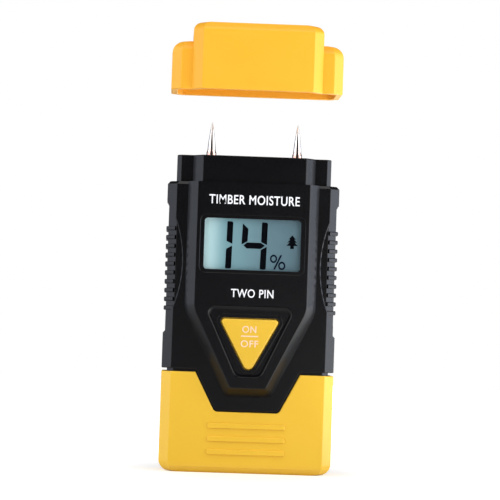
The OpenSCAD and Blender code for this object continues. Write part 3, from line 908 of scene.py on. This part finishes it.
def foam():
    """Open foam: pits of several sizes."""
    f = Finish("grey foam")
    cells = f.node("TexVoronoi", {"feature": "F1"}, {"Vector": f.place, "Scale": 1400})
    large = f.noise(500)
    return f.surface({"Base Color": f.blend(cells, tint(40, 40, 43), tint(92, 92, 96)),
                      "Roughness": 0.85 + large * 0.1,
                      "Normal": f.relief(cells + large * 0.4, 0.9, 0.0002)})


def wire_sleeve(name, colour, shade):
    """Soft wire insulation with long drawing marks."""
    f = Finish(name)
    drawn = f.noise(2400, 2.0, 0.5, (1, 1, 0.1))
    return f.surface({"Base Color": f.blend(drawn, colour, shade),
                      "Roughness": 0.36 + drawn * 0.15,
                      "Normal": f.relief(drawn, 0.2, 0.00003)})


def battery_jacket():
    """Printed metal jacket: a dark body and a copper-coloured band below the terminals."""
    f = Finish("battery jacket")
    band = f.ramp(f.along("Z"), 0.0362, 0.0366)
    brushed = f.noise(2600, 2.0, 0.6, (0.05, 0.05, 1))
    colour = f.blend(band, tint(38, 42, 50), tint(196, 140, 84))
    return f.surface({"Base Color": f.blend(brushed * 0.3, colour, tint(120, 122, 126)),
                      "Metallic": 0.7, "Roughness": 0.3 + brushed * 0.15,
                      "Normal": f.relief(brushed, 0.15, 0.00002)})


def label_film():
    """A matt silver film with a printed frame and three plain rules."""
    f = Finish("label film")
    x, z = f.along("X"), f.along("Z")
    width = (LABEL_HIGH.x - LABEL_LOW.x) * MM / 2
    height = (LABEL_HIGH.z - LABEL_LOW.z) * MM / 2
    middle = (LABEL_HIGH.z + LABEL_LOW.z) * MM / 2
    across, up = abs(x), abs(z - middle)
    margin, line, thin = 0.0015, 0.0003, 0.00015
    sides = across.near(width - margin, line) * up.below(height - margin + line)
    ends = up.near(height - margin, line) * across.below(width - margin + line)
    rules = (up.near(0, thin) + up.near(0.008, thin)) * across.below(width - 0.004)
    brushed = f.noise(1800, 2.0, 0.6, (0.04, 1, 1))
    film = f.blend(brushed, tint(168, 171, 175), tint(192, 195, 198))
    ink = f.ramp(sides + ends + rules, 0.3, 0.7)
    return f.surface({"Base Color": f.blend(ink, film, tint(34, 35, 38)), "Metallic": 0.35,
                      "Roughness": 0.42 + brushed * 0.1})


# ---------------------------------------------------------------- the meter
BLACK = moulded("black moulded plastic", tint(1, 1, 3), tint(5, 5, 8), 5200, 0.15, 0.25, 0.3)
BOOT_YELLOW = moulded("boot yellow plastic", tint(240, 190, 46), tint(246, 198, 56), 4200, 0.28,
                      0.25, 0.5)
CAP_YELLOW = moulded("cap yellow plastic", tint(244, 173, 37), tint(250, 181, 46), 4200, 0.34,
                     0.25, 0.4)
KEY_YELLOW = moulded("key yellow rubber", tint(230, 183, 44), tint(236, 191, 54), 3200, 0.28,
                     0.3, 0.55)


def build_shells():
    whole = case_whole()
    piece("case_front_shell", front_shell(whole), "meter", BLACK, ["front_case"])
    piece("case_back_shell", rear_shell(whole), "meter", BLACK, ["rear_case"])
    piece("boot_sleeve", boot_shell(), "boot", BOOT_YELLOW, ["battery_boot"])
    piece("needle_cap", cap_shell(), "cap", CAP_YELLOW, ["protective_cap"])


def build_display():
    piece("display_window", lens_solid(), "meter", clear_window(), ["display_lens"])
    front = GLASS_FRONT_Y - 0.02
    piece("display_figures", plates(display_marks(), front - INK, front), "meter",
          display_ink("display figures", tint(2, 4, 9)))
    piece("display_percent", plates(percent_marks(), front - INK, front), "meter",
          display_ink("display percent", tint(6, 14, 40)))


def build_key():
    piece("power_key", key_solid(), "key", KEY_YELLOW, ["button_key"])
    ink = printed("key print", tint(252, 218, 196), tint(246, 196, 120))
    face = KEY_LOW.y
    for name, words, left, right, foot in (("key_word_on", "ON", -2.43, 2.23, 46.75),
                                           ("key_word_off", "OFF", -2.8, 3.0, 42.0)):
        piece(name, lettering(words, left, right, foot, 2.3, face - INK, face + 0.02, 0.012),
              "key", ink)
    line = [(-2.8, 45.45), (2.9, 45.45), (2.9, 45.85), (-2.8, 45.85)]
    piece("key_line", plates([line], face - INK, face + 0.02), "key", ink)


def build_print():
    ink = printed("white print", tint(250, 251, 255), tint(222, 224, 230))
    face = FRONT_Y + INK
    for name, words, left, right, foot, height in (
            ("case_words_top", "TIMBER MOISTURE", -14.8, 15.2, 89.2, 3.1),
            ("case_words_low", "TWO PIN", -6.6, 7.5, 58.4, 2.8)):
        piece(name, lettering(words, left, right, foot, height, face - INK, face + 0.02, 0.012),
              "meter", ink)


def build_needles():
    nickel = needle_metal()
    for side, name in ((-1, "left"), (1, "right")):
        piece("needle_" + name, needle_solid(side * NEEDLE_X), "meter", nickel,
              ["electrode_" + name])


def build_back():
    piece("case_screw_heads", screw_heads(), "meter",
          metal("zinc screws", tint(168, 170, 174), tint(120, 122, 126), 0.28),
          ["case_screws"])


NODE_FINISHES = {
    "boot_foam_pad": foam(),
    "lcd_glass": display_back(),
    "lcd_frame": moulded("white frame plastic", tint(214, 215, 216), tint(226, 227, 228), 4200,
                         0.4, 0.2, 0.4),
    "zebra_strips": moulded("black silicone", tint(32, 32, 34), tint(48, 48, 52), 3600, 0.55,
                            0.3, 0.3),
    "snap_connector": moulded("connector vinyl", tint(24, 24, 26), tint(38, 38, 42), 3000, 0.5,
                              0.3, 0.3),
    "switch_plunger": moulded("plunger plastic", tint(188, 60, 40), tint(204, 76, 52), 4200, 0.4,
                              0.2, 0.4),
    "main_board": circuit_board(),
    "control_chip": resin(),
    "battery_9v": battery_jacket(),
    "switch_cover": metal("plated steel", tint(196, 198, 202), tint(150, 152, 156), 0.24),
    "pin_socket_left": metal("socket brass", tint(214, 172, 92), tint(160, 118, 58), 0.26),
    "board_parts": moulded("fired ceramic", tint(176, 158, 128), tint(206, 190, 160), 6000, 0.5,
                           0.2, 0.4),
    "red_lead": wire_sleeve("red wire", tint(176, 30, 28), tint(150, 22, 22)),
    "black_lead": wire_sleeve("black wire", tint(26, 26, 28), tint(40, 40, 43)),
    "rear_label": label_film(),
    "board_screws": metal("board screws", tint(178, 180, 184), tint(130, 132, 136), 0.28),
}
SAME_FINISH = {
    "amplifier_chip": "control_chip", "switch_housing": "control_chip",
    "battery_terminals": "switch_cover", "snap_contacts": "switch_cover",
    "pin_socket_right": "pin_socket_left", "pin_lead_left": "red_lead",
    "pin_lead_right": "red_lead",
}


def finish_nodes():
    """Gives every CAD node that stays its own material."""
    for name in list(NODE_FINISHES) + list(SAME_FINISH):
        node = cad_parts[name]
        material = NODE_FINISHES[SAME_FINISH.get(name, name)]
        if not node.material_slots:
            node.data.materials.append(material)
        for place in node.material_slots:
            place.material = material


# ---------------------------------------------------------------- studio
COOL = (0.8, 0.86, 1)
WORLD_GLOW = 0.07
METER_MIDDLE = Vector((0, 0, 0.08))


def softbox(name, place, width, height, glow, colour=(1, 1, 1)):
    """A soft area light that faces the meter. glow is how bright its face looks."""
    lamp = bpy.data.lights.new(name, "AREA")
    lamp.color = colour
    lamp.shape = "RECTANGLE"
    lamp.size = width
    lamp.size_y = height
    lamp.energy = glow * math.pi * width * height
    made = bpy.data.objects.new(name, lamp)
    made.location = place
    made.rotation_euler = (METER_MIDDLE - Vector(place)).to_track_quat("-Z", "Y").to_euler()
    bpy.context.scene.collection.objects.link(made)


def floor_paint():
    """Satin white paint that glows away from the meter, so that no horizon shows.

    Reflections see a weaker glow, except to the right, where it lights the lower bevels."""
    f = Finish("pale floor")
    cloud = f.noise(8)
    oval = f.node("VectorMath", {"operation": "MULTIPLY"}, {0: f.place, 1: (1, 0.5, 1)})
    reach = f.node("VectorMath", {"operation": "LENGTH"}, {0: oval}, "Value")
    far = f.ramp(reach, 0.012, 0.075)
    right = f.ramp(f.along("X"), 0.035, 0.1)
    seen = f.node("LightPath", None, None, "Is Camera Ray")
    white = f.blend(cloud, (0.8, 0.8, 0.8, 1), (0.83, 0.83, 0.83, 1))
    return f.surface({"Base Color": white, "Roughness": 0.26 + cloud * 0.04,
                      "Emission Color": f.blend(far, (0.44, 0.44, 0.44, 1), (1, 1, 1, 1)),
                      "Emission Strength": seen * 0.88 + 0.12 + right * 1.8})


def build_floor():
    """A wide flat board under the meter, as staging."""
    bm = bmesh.new()
    corners = [(-2.5, -2.2, 0), (2.5, -2.2, 0), (2.5, 1.5, 0), (-2.5, 1.5, 0)]
    bm.faces.new([bm.verts.new(corner) for corner in corners])
    mesh = bpy.data.meshes.new("floor")
    bm.to_mesh(mesh)
    bm.free()
    mesh.materials.append(floor_paint())
    made = bpy.data.objects.new("floor", mesh)
    bpy.context.scene.collection.objects.link(made)


def build_world():
    """A plain white page straight behind, and a dim room in every reflection."""
    world = bpy.data.worlds.new("studio")
    world.use_nodes = True
    tree = world.node_tree
    room = tree.nodes["Background"]
    room.inputs["Color"].default_value = (0.92, 0.95, 1, 1)
    room.inputs["Strength"].default_value = WORLD_GLOW
    page = tree.nodes.new("ShaderNodeBackground")
    page.inputs["Color"].default_value = (1, 1, 1, 1)
    straight = tree.nodes.new("ShaderNodeLightPath")
    either = tree.nodes.new("ShaderNodeMixShader")
    tree.links.new(straight.outputs["Is Camera Ray"], either.inputs[0])
    tree.links.new(room.outputs[0], either.inputs[1])
    tree.links.new(page.outputs[0], either.inputs[2])
    tree.links.new(either.outputs[0], tree.nodes["World Output"].inputs["Surface"])
    bpy.context.scene.world = world


def build_lights():
    """Windows in front and above, cool walls at the sides, and slanted panels over them."""
    softbox("left window", (-0.85, -0.7, 0.45), 0.7, 0.9, 2.1)
    softbox("right window", (0.9, -0.65, 0.4), 0.7, 0.9, 2.35)
    softbox("top window", (0, -0.45, 1.1), 1.0, 0.7, 2.35)
    softbox("left wall", (-1.1, -0.05, 0.2), 0.75, 0.5, 2.2, COOL)
    softbox("right wall", (1.1, -0.05, 0.2), 0.75, 0.5, 3.9, COOL)
    softbox("left slant", (-1.0, -0.1, 0.8), 0.9, 0.6, 2.4)
    softbox("right slant", (1.0, -0.1, 0.8), 0.9, 0.6, 2.0)


def build_camera():
    data = bpy.data.cameras.new("camera")
    data.lens = 182
    data.clip_start = 0.01
    camera = bpy.data.objects.new("camera", data)
    camera.location = (-0.026, -0.85, 0.047)
    aim = Vector((-0.00077, -0.014, 0.0742))
    lean = math.radians(1.95)
    camera.rotation_euler = ((aim - camera.location).to_track_quat("-Z", "Y").to_matrix()
                             @ Matrix.Rotation(lean, 3, "Z")).to_euler()
    bpy.context.scene.collection.objects.link(camera)
    bpy.context.scene.camera = camera
    bpy.context.scene.view_settings.view_transform = "Standard"


build_camera()
build_shells()
build_display()
build_key()
build_print()
build_needles()
build_back()
finish_nodes()
build_world()
build_floor()
build_lights()
